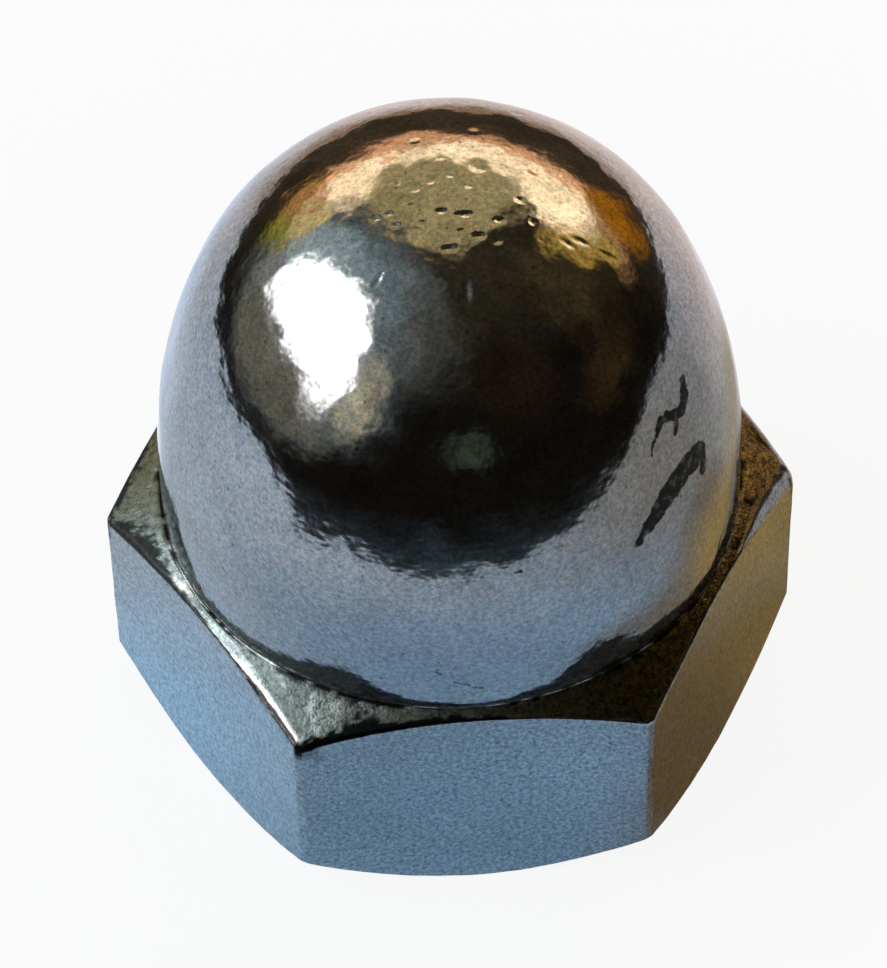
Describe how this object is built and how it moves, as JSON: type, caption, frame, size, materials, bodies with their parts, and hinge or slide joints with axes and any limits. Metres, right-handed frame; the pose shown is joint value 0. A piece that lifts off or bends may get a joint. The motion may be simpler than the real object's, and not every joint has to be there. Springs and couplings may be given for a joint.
{
  "type": "cap nut",
  "caption": "High domed hexagon cap nut with chamfered corners, a small cove under the dome and a blind tapped hole, polished plated steel.",
  "frame": {"origin": "centre of the bearing face, on the axis of the tapped hole", "axes": "+Z along the axis towards the crown; +X through one of the hexagon's corners, so two flats face +Y and -Y"},
  "size_m": [0.015, 0.013, 0.015],
  "materials": {
    "plating": "polished plating on the dome and flats, grainier on the turned chamfers and in the hole"
  },
  "bodies": {
    "root": {"cap_nut": "plating"}
  },
  "joints": []
}
